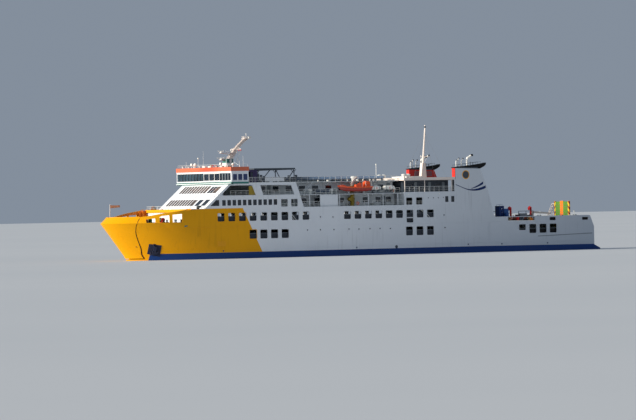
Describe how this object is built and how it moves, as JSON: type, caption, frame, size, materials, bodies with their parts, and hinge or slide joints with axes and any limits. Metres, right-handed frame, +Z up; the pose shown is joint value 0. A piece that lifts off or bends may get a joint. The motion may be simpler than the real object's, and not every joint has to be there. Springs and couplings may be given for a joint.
{
  "type": "passenger ferry, roll-on roll-off, 1:10 scale model",
  "caption": "1:10 model of a roll-on roll-off passenger ferry afloat, with bow visor, ramps at both ends, hollow vehicle decks, lounges, wheelhouse, funnels, masts, rudders and propellers",
  "frame": {"origin": "amidships on the centre line at the waterline", "axes": "+X to the bow, +Y to port, +Z up"},
  "size_m": [10.937, 1.972, 2.905],
  "materials": {
    "hull_navy": "marine paint, semi-gloss",
    "hull_white": "marine paint, semi-gloss",
    "hull_yellow": "marine paint, semi-gloss",
    "deck_green": "marine paint, semi-gloss",
    "deck_grey": "marine paint, semi-gloss",
    "ramp_green": "marine paint, semi-gloss",
    "roof_orange": "marine paint, semi-gloss",
    "dark_paint": "marine paint, semi-gloss",
    "mast_white": "marine paint, semi-gloss",
    "boat_orange": "glossy moulded plastic",
    "davit_olive": "marine paint, semi-gloss",
    "raft_white": "glossy moulded plastic",
    "house_blue": "marine paint, semi-gloss",
    "vent_red": "marine paint, semi-gloss",
    "bronze": "polished bronze",
    "antifouling": "marine paint, semi-gloss",
    "anchor_navy": "painted cast iron",
    "engine_grey": "painted cast iron",
    "flag_cloth": "woven polyester"
  },
  "bodies": {
    "ship": {"lower_hull": "hull_navy", "port_engine": "engine_grey", "starboard_engine": "engine_grey", "port_hull_side": "hull_white", "starboard_hull_side": "hull_white", "car_deck": "deck_green", "upper_car_deck": "deck_green", "aft_mooring_deck": "deck_green", "forecastle_deck": "deck_green", "bow_bulkhead": "hull_yellow", "visor_hinge_brackets": "hull_yellow", "bow_ramp_sill": "deck_grey", "stern_ramp_sill": "deck_grey", "house_floor": "hull_yellow", "mooring_deck_front": "hull_white", "house_front": "hull_white", "port_house_side": "hull_white", "starboard_house_side": "hull_white", "lounge": "hull_white", "promenade_deck": "deck_green", "upper_lounge": "hull_white", "top_deck": "deck_grey", "aft_house": "hull_white", "aft_shelter_roof": "deck_grey", "aft_shelter_house": "dark_paint", "wheelhouse": "hull_white", "wheelhouse_roof": "roof_orange", "officers_house": "dark_paint", "top_deck_canopy": "dark_paint", "foremast": "mast_white", "rescue_boat": "boat_orange", "davit_post": "davit_olive", "port_life_rafts": "raft_white", "starboard_life_rafts": "raft_white", "port_funnel": "hull_white", "starboard_funnel": "hull_white", "port_funnel_cap": "dark_paint", "starboard_funnel_cap": "dark_paint", "machinery_casing": "hull_white", "aft_mast": "mast_white", "stair_house": "house_blue", "fore_cowl_vent": "vent_red", "aft_cowl_vent": "vent_red", "deck_crane_post": "mast_white", "boom_crutch": "mast_white", "port_anchor": "anchor_navy", "starboard_anchor": "anchor_navy"},
    "visor": {"bow_visor": "hull_yellow", "bow_flagstaff": "mast_white", "bow_flag": "flag_cloth"},
    "bow_ramp_leaf": {"bow_ramp": "deck_grey"},
    "stern_ramp_leaf": {"stern_ramp": "ramp_green"},
    "lower_scanner": {"lower_radar": "mast_white"},
    "upper_scanner": {"upper_radar": "mast_white"},
    "davit": {"davit_arm": "mast_white"},
    "crane_boom": {"deck_crane_boom": "mast_white"},
    "propeller_port": {"port_propeller": "bronze"},
    "propeller_starboard": {"starboard_propeller": "bronze"},
    "rudder_port": {"port_rudder": "antifouling"},
    "rudder_starboard": {"starboard_rudder": "antifouling"}
  },
  "joints": [
    {"name": "bow_visor_hinge", "type": "hinge", "parent": "ship", "child": "visor", "pos_m": [4.8, 0, 0.762], "axis": [0, -1, 0], "range_deg": [0, 60]},
    {"name": "bow_ramp_hinge", "type": "hinge", "parent": "ship", "child": "bow_ramp_leaf", "pos_m": [4.604, 0, 0.214], "axis": [0, 1, 0], "range_deg": [0, 90]},
    {"name": "stern_ramp_hinge", "type": "hinge", "parent": "ship", "child": "stern_ramp_leaf", "pos_m": [-5.18, 0, 0.206], "axis": [0, -1, 0], "range_deg": [0, 90]},
    {"name": "lower_scanner_spin", "type": "hinge", "parent": "ship", "child": "lower_scanner", "pos_m": [2.785, 0, 1.88], "axis": [0, 0, 1], "continuous": true},
    {"name": "upper_scanner_spin", "type": "hinge", "parent": "ship", "child": "upper_scanner", "pos_m": [2.785, 0, 2.01], "axis": [0, 0, 1], "continuous": true},
    {"name": "davit_slew", "type": "hinge", "parent": "ship", "child": "davit", "pos_m": [0.25, 0.635, 1.36], "axis": [0, 0, -1], "range_deg": [0, 110]},
    {"name": "crane_boom_luff", "type": "hinge", "parent": "ship", "child": "crane_boom", "pos_m": [-4.226, 0.3, 0.759], "axis": [0, 1, 0], "range_deg": [0, 70]},
    {"name": "port_propeller_spin", "type": "hinge", "parent": "ship", "child": "propeller_port", "pos_m": [-4.56, 0.33, -0.283], "axis": [1, 0, 0], "continuous": true},
    {"name": "starboard_propeller_spin", "type": "hinge", "parent": "ship", "child": "propeller_starboard", "pos_m": [-4.56, -0.33, -0.283], "axis": [1, 0, 0], "continuous": true},
    {"name": "port_rudder_turn", "type": "hinge", "parent": "ship", "child": "rudder_port", "pos_m": [-4.8, 0.33, -0.27], "axis": [0, 0, 1], "range_deg": [-35, 35]},
    {"name": "starboard_rudder_turn", "type": "hinge", "parent": "ship", "child": "rudder_starboard", "pos_m": [-4.8, -0.33, -0.27], "axis": [0, 0, 1], "range_deg": [-35, 35]}
  ],
  "couplings": [
    {"joint": "bow_ramp_hinge", "follows": "bow_visor_hinge", "ratio": 1.5},
    {"joint": "starboard_rudder_turn", "follows": "port_rudder_turn", "ratio": 1}
  ]
}
